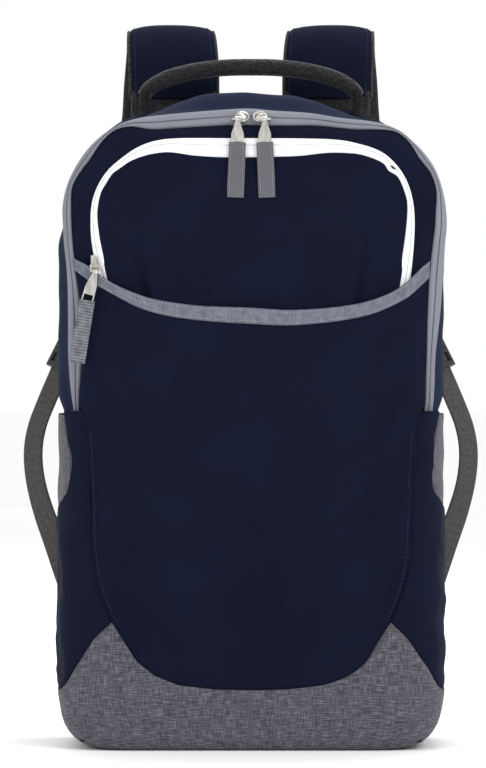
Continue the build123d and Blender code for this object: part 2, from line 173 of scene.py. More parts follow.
def ribbon_tube(name, path, side, half, thick, mat, n=18, power=2.6, **kw):
    """A closed flat band along a path. side gives its width direction."""
    p, t = frames(path); side = A(side); side = np.broadcast_to(side, p.shape).copy()
    side -= (side * t).sum(1)[:, None] * t; side /= np.linalg.norm(side, axis=1)[:, None]
    nrm = np.cross(t, side); half = np.broadcast_to(A(half), len(p)); thick = np.broadcast_to(A(thick), len(p))
    a = np.linspace(0, math.tau, n, endpoint=False)
    cx = np.sign(np.cos(a)) * np.abs(np.cos(a)) ** (2 / power); cy = np.sign(np.sin(a)) * np.abs(np.sin(a)) ** (2 / power)
    P = p[:, None] + side[:, None] * (half[:, None] * cx)[..., None] + nrm[:, None] * (thick[:, None] / 2 * cy)[..., None]
    return grid(name, P, mat, wrap=True, caps=True, **kw)

def tube(name, path, r, mat, n=10, **kw):
    p, t = frames(path); ref = A([0.31, 0.12, 0.94]); s = np.cross(t, ref); s /= np.linalg.norm(s, axis=1)[:, None]
    return ribbon_tube(name, path, s, r, 2 * A(r), mat, n=n, power=2, **kw)

def stitches(name, path, nrm, mat, pitch=3.2, length=2.3, r=0.28, proud=0.12):
    """Thread run over and under: one small capsule per stitch, lying on the cloth."""
    p = A(path); L = cum(p)[-1]; k = max(2, int(L / pitch)); nrm = np.broadcast_to(A(nrm), p.shape)
    c = cum(p) / L; V = []; F = []
    at = lambda u: (A([np.interp(u, c, p[:, j]) for j in range(3)]), A([np.interp(u, c, nrm[:, j]) for j in range(3)]))
    for i in range(k):
        m, n = at((i + 0.5) / k); q, _ = at(min(1, (i + 0.6) / k)); d = q - m
        if np.linalg.norm(d) < 1e-6:
            continue
        d /= np.linalg.norm(d); n = n / np.linalg.norm(n); s = np.cross(d, n); s /= np.linalg.norm(s); b = len(V)
        for e, w, h in ((-0.5, 0.35, -0.3), (-0.28, 1, proud), (0.28, 1, proud), (0.5, 0.35, -0.3)):
            o = m + d * length * e + n * h
            for a in range(6):
                g = math.tau * a / 6; V.append(o + s * r * w * math.cos(g) + n * r * w * math.sin(g))
        for j in range(3):
            for a in range(6):
                F.append((b + j * 6 + a, b + j * 6 + (a + 1) % 6, b + (j + 1) * 6 + (a + 1) % 6, b + (j + 1) * 6 + a))
        F += [tuple(b + a for a in range(6))[::-1], tuple(b + 18 + a for a in range(6))]
    return mesh(name, V, F, mat, np.stack([A(V)[:, 0], A(V)[:, 2]], 1))

# ------------------------------------------------------------------ materials
def lin(r, g, b):
    return tuple(((c / 255) / 12.92 if c <= 10 else ((c / 255 + 0.055) / 1.055) ** 2.4) for c in (r, g, b)) + (1,)

class Mat:
    def __init__(self, name, rough=0.8, spec=0.2, metal=0.0, sheen=0.0, tint=(1, 1, 1, 1), srough=0.5, coords="cloth"):
        self.m = bpy.data.materials.new(name); self.m.use_nodes = True; self.t = self.m.node_tree
        self.b = next(n for n in self.t.nodes if n.type == "BSDF_PRINCIPLED")
        self.b.inputs["Roughness"].default_value = rough; self.b.inputs["Metallic"].default_value = metal
        self.b.inputs["Specular IOR Level"].default_value = spec
        self.b.inputs["Sheen Weight"].default_value = sheen; self.b.inputs["Sheen Tint"].default_value = tint
        self.b.inputs["Sheen Roughness"].default_value = srough
        if coords == "cloth":
            n = self.n("ShaderNodeUVMap"); n.uv_map = "cloth"; self.co = n.outputs[0]
        else:
            self.co = self.n("ShaderNodeTexCoord").outputs["Object"]
        s = self.n("ShaderNodeSeparateXYZ"); self.l(self.co, s.inputs[0]); self.x, self.y, self.z = s.outputs
        self.h = None
    def n(self, t):
        return self.t.nodes.new(t)
    def l(self, a, b):
        self.t.links.new(a, b)
    def math(self, op, a, b=None):
        n = self.n("ShaderNodeMath"); n.operation = op
        for i, v in enumerate((a, b)):
            if v is None:
                continue
            if isinstance(v, (int, float)):
                n.inputs[i].default_value = v
            else:
                self.l(v, n.inputs[i])
        return n.outputs[0]
    def wave(self, c, period_mm, phase=0.0):
        return self.math("SINE", self.math("ADD", self.math("MULTIPLY", c, math.tau / (period_mm / 1000)), phase))
    def noise(self, sx, sy, sz=None, detail=3.0):
        """Noise with features of those sizes in mm along each axis."""
        v = self.n("ShaderNodeVectorMath"); v.operation = "MULTIPLY"; self.l(self.co, v.inputs[0])
        v.inputs[1].default_value = (1000 / sx, 1000 / sy, 1000 / (sz or sy))
        t = self.n("ShaderNodeTexNoise"); t.inputs["Scale"].default_value = 1; t.inputs["Detail"].default_value = detail
        self.l(v.outputs[0], t.inputs["Vector"]); return t.outputs["Fac"]
    def ramp(self, fac, *stops, sock="Base Color"):
        r = self.n("ShaderNodeValToRGB"); e = r.color_ramp.elements
        e[0].position, e[0].color = stops[0]; e[1].position, e[1].color = stops[-1]
        for pos, col in stops[1:-1]:
            k = e.new(pos); k.color = col
        self.l(fac, r.inputs[0])
        if sock:
            self.l(r.outputs[0], self.b.inputs[sock])
        return r.outputs[0]
    def bump(self, h, dist_mm, strength=0.5):
        b = self.n("ShaderNodeBump"); b.inputs["Distance"].default_value = dist_mm / 1000; b.inputs["Strength"].default_value = strength
        self.l(h, b.inputs["Height"])
        if self.h is not None:
            self.l(self.h, b.inputs["Normal"])
        self.h = b.outputs[0]; self.l(self.h, self.b.inputs["Normal"]); return self

def weave(name, dark, light, period=0.7, coords="cloth", depth=0.12, **kw):
    m = Mat(name, coords=coords, **kw); a, b = (m.x, m.y) if coords == "cloth" else (m.x, m.z)
    w = m.math("MULTIPLY", m.wave(a, period), m.wave(b, period))
    m.ramp(m.math("ADD", m.math("MULTIPLY", w, 0.16), m.math("ADD", m.math("MULTIPLY", m.noise(60, 60), 0.45), m.math("MULTIPLY", m.noise(1.1, 1.1), 0.4))), (0.2, dark), (0.75, light))
    m.bump(w, depth).bump(m.noise(14, 14), 0.5, 0.25); return m.m

def heather(name, coords="cloth"):
    m = Mat(name, rough=0.92, spec=0.12, sheen=0.1, coords=coords)
    a, b = (m.x, m.y) if coords == "cloth" else (m.x, m.z)
    f = m.math("ADD", m.math("MULTIPLY", m.noise(9, 0.9, 0.9, 4), 0.55), m.math("MULTIPLY", m.noise(0.9, 8, 8, 4), 0.45))
    m.ramp(f, (0.36, lin(52, 51, 57)), (0.5, lin(79, 78, 86)), (0.66, lin(118, 118, 126)))
    w = m.math("MULTIPLY", m.wave(a, 0.8), m.wave(b, 0.8)); m.bump(w, 0.16).bump(f, 0.35, 0.5); return m.m

def ribbed(name, dark, light, period=1.0, axis="x", depth=0.25, cross=0.5, **kw):
    m = Mat(name, **kw); a, b = (m.x, m.y) if axis == "x" else (m.y, m.x)
    w = m.wave(a, period); v = m.math("MULTIPLY", m.wave(b, cross), 0.3); h = m.math("ADD", w, v)
    m.ramp(m.math("ADD", m.math("MULTIPLY", h, 0.16), m.noise(5, 5)), (0.2, dark), (0.8, light)); m.bump(h, depth); return m.m

def twill(name, dark, light, period=1.3, **kw):
    m = Mat(name, **kw); h = m.wave(m.math("ADD", m.x, m.y), period)
    m.ramp(m.math("ADD", m.math("MULTIPLY", h, 0.2), m.noise(3, 3)), (0.2, dark), (0.8, light)); m.bump(h, 0.3); return m.m

def knit(name, coords="cloth"):
    m = Mat(name, rough=0.85, spec=0.2, sheen=0.15, coords=coords); v = m.n("ShaderNodeTexVoronoi"); v.inputs["Scale"].default_value = 420
    m.l(m.co, v.inputs["Vector"]); h = v.outputs["Distance"]
    m.ramp(h, (0.1, lin(6, 6, 7)), (0.6, lin(36, 36, 38))); m.bump(h, 1.2, 0.9); return m.m

def metal(name):
    m = Mat(name, rough=0.24, spec=0.5, metal=1.0, coords="object"); f = m.noise(3, 3, 12)
    m.ramp(f, (0.3, lin(168, 166, 160)), (0.7, lin(214, 212, 206))); m.ramp(f, (0.3, (0.2, 0.2, 0.2, 1)), (0.75, (0.38, 0.38, 0.38, 1)), sock="Roughness")
    m.bump(m.noise(0.8, 0.8, 6), 0.05, 0.4); return m.m

def plastic(name):
    m = Mat(name, rough=0.45, spec=0.4, coords="object"); f = m.noise(1.2, 1.2, 1.2)
    m.ramp(f, (0.3, lin(16, 16, 17)), (0.7, lin(27, 27, 28))); m.bump(f, 0.08, 0.5); return m.m

SH = dict(rough=0.88, spec=0.08, sheen=0.02, tint=(0.45, 0.6, 1, 1))
NAVY = weave("navy_polyester", lin(9, 12, 27), lin(18, 24, 47), **SH)
# a lighter, bluer copy of the same navy cloth for the side and top gusset: painted rim light, not a different fabric
# colour
NAVY_PAINTED_RIM_LIGHT = weave("navy_polyester_painted_rim_light", lin(10, 16, 35), lin(21, 32, 61), **SH)
HEATH = heather("heather_polyester")
LINING = weave("black_lining", lin(14, 14, 16), lin(30, 30, 33), period=0.5, rough=0.7, spec=0.25)
MESHM = knit("black_air_mesh")
GROS = ribbed("grey_grosgrain", lin(84, 88, 99), lin(123, 128, 140), rough=0.85, spec=0.2)
TAPE = weave("grey_band_cloth", lin(112, 115, 124), lin(142, 145, 155), period=0.8, rough=0.85, spec=0.2, depth=0.2)
WHITE = weave("white_tape", lin(226, 227, 232), lin(250, 250, 252), period=0.8, rough=0.8, spec=0.2)
TWILL = twill("grey_webbing", lin(44, 43, 42), lin(80, 79, 78), rough=0.8, spec=0.2)
BLACKWEB = twill("black_webbing", lin(14, 14, 15), lin(32, 32, 34), rough=0.8, spec=0.2)
RIBBON = weave("grey_ribbon", lin(80, 80, 85), lin(116, 116, 121), period=0.9, depth=0.2, rough=0.85, spec=0.2)
RIBRIB = ribbed("grey_ribbed_ribbon", lin(76, 77, 83), lin(134, 135, 143), period=2.2, axis="y", depth=0.6, rough=0.85, spec=0.2)
COIL = ribbed("grey_coil", lin(78, 80, 86), lin(132, 134, 142), period=1.4, depth=0.3, rough=0.5, spec=0.4)
METAL = metal("nickel_metal")
PLASTIC = plastic("black_acetal")
THREAD_G = twill("thread_grey", lin(128, 131, 142), lin(168, 171, 180), rough=0.7, spec=0.3)
THREAD_N = twill("thread_navy", lin(20, 28, 56), lin(40, 52, 88), rough=0.7, spec=0.3)
THREAD_B = twill("thread_black", lin(18, 18, 20), lin(44, 44, 48), rough=0.7, spec=0.3)

# ------------------------------------------------------------------ curves given from measurements, real mm (x, z)
BAND_OUT = [(-129.6,238),(-130.6,248.3),(-132.1,257.2),(-133.9,273.4),(-135,294.1),(-135,316.2),(-135.4,342),(-136.5,359),(-138,371.5),(-138.8,386.3),(-139.4,398.1),(-136.5,413.6),(-130.8,426.9),(-121.7,440.9),(-110.7,452),(-98.1,460.1),(-83.4,465),(-62,467.8),(-36.9,470.1),(-14.8,471.7),(-0.7,472.2),(15.5,470.7),(42.8,468.9),(64.2,465.5),(91.3,462.3),(106,457.6),(118.4,448.6),(127.5,439.6),(135.4,428.3),(140.9,413.6),(143.9,397.8),(144.4,384.1),(143.1,373),(142.2,356.1),(140.9,339.1),(139.8,323.6),(137.2,301.5),(135.7,286.7),(135.4,272),(134.3,253.5),(133.5,246.1),(133,238)]
BAND_IN = [(-125.6,238),(-126,249.8),(-126,260.9),(-124.9,271.9),(-123.4,294.1),(-124.2,316.2),(-126.7,338.3),(-129.3,354.5),(-131.2,371.4),(-132.3,386.2),(-132.5,400.9),(-131.9,413.4),(-126.7,423.7),(-118.3,434.8),(-112.7,443.6),(-105.8,451.7),(-98,456.9),(-87.7,458.5),(-80.3,457.3),(-72.2,456.2),(-59.7,456.9),(-42.7,458),(-15.5,459.5),(-0.7,459.5),(17.7,459.1),(46.1,459.1),(64.1,457.4),(77.7,456.2),(91.4,456.2),(105.9,454.9),(116.1,447.3),(123.8,434.8),(131.9,424.7),(136.3,411.2),(135.8,397.7),(135.2,384),(133.7,372.9),(132.4,361.5),(130.7,344.6),(129.7,327.2),(129,308.8),(128.6,286.7),(127.8,271.9),(127.5,257.2),(126.7,248.4),(126.2,238)]
TRIM_OUT = [(-101,322),(-107.8,338.2),(-110.4,344.8),(-113,352.4),(-115.5,361.7),(-116.4,368.1),(-117.7,376.4),(-118.1,386.1),(-118,394.1),(-117.5,400.8),(-113.5,413.2),(-105.7,425.7),(-94.4,435.7),(-83.2,443.1),(-70.7,447.6),(-53.9,449.5),(-15.5,449.5),(17.8,449.5),(59.6,448.7),(79.8,445.3),(95.6,439.7),(106.8,430.1),(114.7,417.7),(119.2,402),(120.2,386.1),(119.2,367),(117.2,346.7),(116.3,336.7),(115,322)]
TRIM_IN = [(-95,322),(-100.8,338.1),(-103.4,345.6),(-106.8,358),(-110.7,372.7),(-112.6,386.1),(-113.1,391.8),(-113,397.4),(-110.3,409.8),(-106.6,416.1),(-104.4,419.9),(-101.5,423.8),(-96.6,427.2),(-87.6,433),(-74.3,437.4),(-59.6,438.9),(-42.7,436.8),(-15.4,435.6),(17.8,436),(37,436.8),(57.2,438.9),(77.5,437.9),(91,434),(98.3,430.1),(100.6,425.6),(107.9,421),(113.5,407.5),(114.9,398.5),(113.5,380.5),(110.2,358),(106.8,337.7),(104,322)]
SM_TOP = [(-130.7,363),(-129.1,360.6),(-121.1,356.7),(-113.3,350.5),(-100.9,342.6),(-87.4,336.5),(-73.9,331.9),(-55.9,328.5),(-36.9,326.3),(-19.1,325.5),(-0.7,324.9),(25.7,323.3),(48.2,324.1),(70.5,326.6),(87.4,330.2),(104.3,337),(116.7,346.1),(124.6,353.9),(131.9,360)]
SM_BOT = [(-130.3,352.7),(-127.9,351.2),(-116.7,343.2),(-106.6,337.6),(-94.2,330.8),(-83,325.2),(-65,319.7),(-42.6,316.2),(-19.1,314.2),(-0.7,313.2),(25.7,312),(53.6,313.9),(76.3,317.3),(93.1,321.9),(107.7,328.5),(115.6,333.1),(124.6,340.9),(131.8,347.6)]
SEAM_L = [(-124.7,249.9),(-121.1,227.2),(-118.9,182.4),(-118.1,152.3),(-115.2,129.6),(-110.1,112),(-102.6,94.2)]
SEAM_R = [(-x, z) for x, z in SEAM_L]
HEATHER = [(-142,43),(-137,47),(-129,62),(-116,82),(-102.2,94),(-94,81),(-84,65.5),(-71,55),(-53,48),(-27,45),(0,44.3)]
HEATHER = HEATHER + [(-x, z) for x, z in HEATHER[-2::-1]]
cSL, cSR = catmull(SEAM_L), catmull(SEAM_R)
U_EDGE = np.vstack([catmull(HEATHER[4:11], 5), catmull(HEATHER[10:17], 5)[1:]])

# the base outline that the zip ring is offset from
def ring(w, top, r, zlow, nS=20, nC=18, nT=20, power=1.0):
    p, n = [], []
    for z in np.linspace(zlow, top - r, nS, endpoint=False): p.append((-w, z)); n.append((-1, 0))
    for a in np.linspace(math.pi, math.pi / 2, nC, endpoint=False): p.append((-w + r + r * math.cos(a), top - r + r * math.sin(a))); n.append((math.cos(a), math.sin(a)))
    for x in np.linspace(-w + r, w - r, nT, endpoint=False): p.append((x, top)); n.append((0, 1))
    for a in np.linspace(math.pi / 2, 0, nC, endpoint=False): p.append((w - r + r * math.cos(a), top - r + r * math.sin(a))); n.append((math.cos(a), math.sin(a)))
    for z in np.linspace(top - r, zlow, nS): p.append((w, z)); n.append((1, 0))
    return A(p), A(n)

BP, BN = ring(136, 471, 68, 242, 24, 26, 34)
BS = cum(BP)

def hits(curve, lo=-75, hi=20):
    """The measured curve as one point for each base outline point, met along its normal."""
    q = catmull(curve, 10); out = []
    for p, n in zip(BP, BN):
        g = (q - p) @ A([-n[1], n[0]]); s = (q - p) @ n; k = np.where(g[:-1] * g[1:] <= 0)[0]; best = None
        for i in k:
            f = g[i] / (g[i] - g[i + 1] + 1e-12); d = s[i] + f * (s[i + 1] - s[i])
            if lo < d < hi and (best is None or d > best):
                best = d
        out.append(np.nan if best is None else best)
    o = A(out); ok = ~np.isnan(o); o = np.interp(np.arange(len(o)), np.arange(len(o))[ok], o[ok])
    return BP + BN * o[:, None], ok

C_BO, _ = hits(BAND_OUT); C_BI, _ = hits(BAND_IN); C_TO, okTO = hits(TRIM_OUT); C_TI, okTI = hits(TRIM_IN)

def lerp(a, b, t):
    return A(a) * (1 - t) + A(b) * t

# front height of the body, y in mm, from its plan section
PLAN = catmull([(0,-81.2),(60,-81.3),(96,-81),(113,-80),(124,-77.4),(133,-71.5),(139,-63),(142.5,-50),(144,-30),(144.4,0),(143.4,38),(141.4,60),(137.5,71),(130,75)], 8)
PLAN_L = cum(PLAN)
FRONT_K = int(np.argmax(PLAN[:, 0] > 142.2))

def plan_y(x):
    return np.interp(np.abs(x), PLAN[:FRONT_K, 0], PLAN[:FRONT_K, 1])

def body_y(x, z):
    """The front face: the pocket section below z 250, and the flap's shallower edge above."""
    low = plan_y(x); ax = np.abs(x)
    up = -81.2 + 5.5 * smooth(85, 120, ax) + 9.5 * smooth(117, 133, ax)
    y = lerp(low, up, 0) * (1 - smooth(240, 285, z)) + up * smooth(240, 285, z)
    y = y + 0.55 * noise(x, z, 95, 3) + 0.25 * noise(x, z, 34, 5)
    g = np.minimum(dist_poly(x, z, cSL), dist_poly(x, z, cSR)); g = np.minimum(g, dist_poly(x, z, U_EDGE))
    return y + 1.5 * np.exp(-(g / 2.2) ** 2) * (np.asarray(z) < 262)

def lift(S, f=body_y):
    x, z = S[..., 0], S[..., 1]
    return np.stack([x, f(x, z), z], -1)

# ------------------------------------------------------------------ 1 gusset: sides and top
ys = A([69, 62, 50, 34, 16, -4, -22, -38, -50, -57, -61])
ws = A([132.5, 136.5, 140.5, 142.8, 143.8, 144, 143.9, 143, 141, 138.8, 136.5])
ts = A([478, 481, 484, 485.6, 486, 486, 485, 482, 478, 474.4, 472])
rs = A([70, 71, 73, 74, 74.5, 74.5, 74, 73, 71, 69, 68])
rows = []
for y, w, t, r in zip(ys, ws, ts, rs):
    p, n = ring(w, t, r, 242, 24, 26, 34)
    q = C_BO; side = np.maximum(143.4 - np.abs(q[:, 0]), 0) * smooth(394, 366, q[:, 1]); crown = 14.0 * smooth(98, 30, np.abs(q[:, 0])) * (q[:, 1] > 440)
    full = q + BN * (side + crown - 1.2 * (1 - smooth(0, 3, side + crown)))[:, None]; b_ = smooth(-61, -36, y); p = lerp(lerp(q, full, b_), p, smooth(44, 69, y))
    inner = smooth(262, 244, p[:, 1]) * np.clip(np.abs(p[:, 0]) - 137.5, 0, 99); p[:, 0] -= np.sign(p[:, 0]) * inner
    low = np.stack([np.sign(p[0, 0]) * np.full(8, abs(p[0, 0])), np.linspace(40, 238, 8)], 1)
    hi_ = np.stack([np.full(8, p[-1, 0]), np.linspace(238, 40, 8)], 1)
    p = np.vstack([low, p, hi_]); s = cum(p)
    d = 1.1 * noise(s, np.full(len(s), y), 62, 11) + 0.5 * noise(s, np.full(len(s), y * 1.6), 24, 12)
    q = np.gradient(p, axis=0); nn = np.stack([-q[:, 1], q[:, 0]], 1); nn /= np.linalg.norm(nn, axis=1)[:, None]
    d = d * smooth(-61, -44, y) * smooth(69, 56, y) * smooth(240, 290, p[:, 1])
    p = p + nn * d[:, None]
    rows.append(np.stack([p[:, 0], np.full(len(p), y), p[:, 1]], 1))
G = A(rows)
# the gusset wears the lighter navy copy, whose extra brightness is painted rim light
gus = grid("gusset_skin", G, NAVY_PAINTED_RIM_LIGHT, thick=1.6, lining=LINING, sub=1, out=(0, 0, 1))
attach(gus, "bag"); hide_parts("side_panel_left", "side_panel_right", "top_panel")
back_edge = G[0][:, [0, 2]]; back_edge = np.vstack([[(-132.5, 40)], back_edge, [(132.5, 40)]])

# ------------------------------------------------------------------ 2 grey band over the main zip, in two halves that part at the chain
def strip(name, stations, mat, body, a=0, b=None, thick=0.0, sub=1, out=(0, -1, 0), puck=0.0, tuck=0.0, **kw):
    """stations: list of (2-D curve along the base outline, y). a:b is the part of the outline used."""
    P = []
    for c, y in stations:
        c = A(c)[a:b]; yy = np.full(len(c), float(y)) if np.isscalar(y) else A(y)[a:b]
        yy = yy + tuck * smooth(366, 342, c[:, 1]) * smooth(455, 440, c[:, 1])
        yy = yy + puck * noise(BS[a:b], yy * 0 + len(P) * 3, 16, 21)
        P.append(np.stack([c[:, 0], yy, c[:, 1]], 1))
    ob = grid(name, A(P), mat, thick=thick, sub=sub, out=out, **kw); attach(ob, body); return ob

band_b = strip("band_body_half", [(lerp(C_BO, C_BI, -0.02), -59), (lerp(C_BO, C_BI, 0.02), -62.4), (lerp(C_BO, C_BI, 0.14), -65.2), (lerp(C_BO, C_BI, 0.3), -66.6), (lerp(C_BO, C_BI, 0.45), -66.6), (lerp(C_BO, C_BI, 0.492), -66.0)], TAPE, "bag", thick=1.0, puck=0.18)
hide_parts("main_zip_tape_body")
band_f = strip("band_flap_half", [(lerp(C_BO, C_BI, 0.46), -64.6), (lerp(C_BO, C_BI, 0.494), -66.0), (lerp(C_BO, C_BI, 0.54), -66.8), (lerp(C_BO, C_BI, 0.72), -67.6), (lerp(C_BO, C_BI, 0.9), -67.4), (lerp(C_BO, C_BI, 1.0), -66.0), (lerp(C_BO, C_BI, 1.03), -64.2)], TAPE, "flap", thick=1.0, puck=0.15)
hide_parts("main_zip_tape_flap")

def coil(name, k, y, body, node):
    c = lerp(C_BO, C_BI, k); n = int(cum(c)[-1] / 0.75); c = resample(c, n); t = np.gradient(c, axis=0); t /= np.linalg.norm(t, axis=1)[:, None]
    m = np.stack([-t[:, 1], t[:, 0]], 1); r = 1.05 + 0.3 * np.where(np.arange(n) % 2, 1, -1); P = []
    for a in np.linspace(0, math.tau, 6, endpoint=False):
        q = c + m * (r * math.cos(a))[:, None]; P.append(np.stack([q[:, 0], y + r * 0.8 * math.sin(a), q[:, 1]], 1))
    ob = grid(name, A(P).transpose(1, 0, 2), COIL, wrap=True, caps=True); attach(ob, body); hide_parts(node); return ob
coil("zip_coil_body", 0.43, -61.2, "bag", "main_zip_coil_body")
coil("zip_coil_flap", 0.60, -61.2, "flap", "main_zip_coil_flap")

# ------------------------------------------------------------------ 3 flap border, white trim, upper pocket
a0 = int(np.argmax(C_BI[:, 1] > 330)); b0 = len(BP) - int(np.argmax(C_BI[::-1, 1] > 330))
bord = strip("flap_border", [(lerp(C_BI, C_TO, -0.05), -63.6), (lerp(C_BI, C_TO, 0.0), -65.6), (lerp(C_BI, C_TO, 0.14), -68.4), (lerp(C_BI, C_TO, 0.35), -70.6), (lerp(C_BI, C_TO, 0.7), -71.8), (lerp(C_BI, C_TO, 1.12), -72.0)], NAVY, "flap", a0, b0, thick=1.2, puck=0.3, tuck=3.4)
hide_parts("flap_frame", "flap_edge_wall")
trim_o = strip("white_trim_outer", [(lerp(C_TO, C_TI, -0.03), -71.6), (lerp(C_TO, C_TI, 0.0), -73.0), (lerp(C_TO, C_TI, 0.14), -74.2), (lerp(C_TO, C_TI, 0.3), -74.4), (lerp(C_TO, C_TI, 0.372), -74.0)], WHITE, "flap", a0, b0, thick=0.9, puck=0.1, tuck=2.2)
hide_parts("pocket_zip_tape_outer")
trim_i = strip("white_trim_inner", [(lerp(C_TO, C_TI, 0.34), -72.9), (lerp(C_TO, C_TI, 0.376), -74.0), (lerp(C_TO, C_TI, 0.45), -74.7), (lerp(C_TO, C_TI, 0.75), -75.4), (lerp(C_TO, C_TI, 0.97), -74.8), (lerp(C_TO, C_TI, 1.03), -73.4)], WHITE, "pocket_front", a0, b0, thick=0.9, puck=0.15, tuck=2.2)
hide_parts("pocket_zip_tape_inner")

ti = catmull(TRIM_IN, 8) ; ti = ti * A([1.0, 1.0])
iL = int(np.argmin(np.hypot(ti[:, 0] + 101.5, ti[:, 1] - 423.8))); iR = int(np.argmin(np.hypot(ti[:, 0] - 102, ti[:, 1] - 425)))
grow = lambda c: np.stack([c[:, 0] + 2.0 * np.sign(c[:, 0]) * smooth(60, 95, np.abs(c[:, 0])), c[:, 1] + 2.0 * smooth(405, 428, c[:, 1])], 1)
ti = grow(ti)
UP = coons(ti[iL:iR + 1], A([(ti[0, 0], 322), (ti[-1, 0], 322)]), ti[:iL + 1][::-1], ti[iR:], 84, 56)

def pocket_y(x, z):
    e = np.minimum(dist_poly(x, z, ti), 60)
    y = -74.0 - 2.6 * smooth(0, 34, e) + 0.5 * noise(x, z, 60, 31)
    for (x0, z0), (x1, z1), sg in (((-82.5, 376), (-73.0, 322), 1), ((82.5, 379), (74.6, 322), -1)):
        d = A([x1 - x0, z1 - z0]); L = math.hypot(*d); d = d / L
        t = ((x - x0) * d[0] + (z - z0) * d[1]) / L; s = sg * ((x - x0) * -d[1] + (z - z0) * d[0])
        w = smooth(-0.35, 0.75, t)
        y = y - 3.6 * w * smooth(-1.0, 1.0, s) * np.exp(-np.clip(s, 0, 99) / 15) + 4.4 * w * np.exp(-((s + 2.0) / 2.8) ** 2)
        y = y - 1.5 * w * np.exp(-((s - 30) / 9) ** 2)
    return y
upo = grid("upper_pocket", lift(UP, pocket_y), NAVY, thick=1.1, sub=1, out=(0, -1, 0), lining=LINING)
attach(upo, "pocket_front"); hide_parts("upper_pocket_panel")
for o in (upo, trim_i):
    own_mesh(o)

# ------------------------------------------------------------------ 4 the long front panel, continuous over the fold at z 250
cT, cB = catmull(SM_BOT), U_EDGE
bl = catmull(BAND_IN, 8); half = int(np.argmax(bl[:, 1])) ; L_, R_ = bl[:half], bl[half:]
L_ = L_[(L_[:, 1] > 252) & (L_[:, 1] < 353)][::-1]; R_ = R_[(R_[:, 1] > 252) & (R_[:, 1] < 348)]
Lc = np.vstack([cT[:1], L_ + A([-0.5, 0]), cSL]); Rc = np.vstack([cT[-1:], R_ + A([0.5, 0]), cSR])
U = coons(cT, cB, Lc, Rc, 96, 110)
up = grid("front_panel", lift(U), NAVY, thick=1.4, lining=LINING, out=(0, -1, 0))
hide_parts("slip_pocket_upper", "slip_pocket_lower")
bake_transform(up)

# smile binding
sm_t, sm_b = resample(catmull(SM_TOP), 120), resample(catmull(SM_BOT), 120)
P = []
for k, dy in ((-0.02, 1.2), (0.0, -0.9), (0.1, -1.9), (0.22, -1.35), (0.5, -1.5), (0.78, -1.35), (0.9, -1.9), (1.0, -1.0), (1.03, 0.6)):
    q = lerp(sm_t, sm_b, k); P.append(np.stack([q[:, 0], body_y(q[:, 0], q[:, 1]) + dy, q[:, 1]], 1))
smile = grid("smile_binding", A(P), GROS, thick=0.9, sub=1, out=(0, -1, 0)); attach(smile, "flap"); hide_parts("slip_pocket_binding")
for i, k in enumerate((0.16, 0.84)):
    q = lerp(sm_t, sm_b, k); st = stitches("smile_stitch_%d" % i, np.stack([q[:, 0], body_y(q[:, 0], q[:, 1]) - 1.75, q[:, 1]], 1), (0, -1, 0), THREAD_G, 2.6, 1.9, 0.24)
    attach(st, "flap")

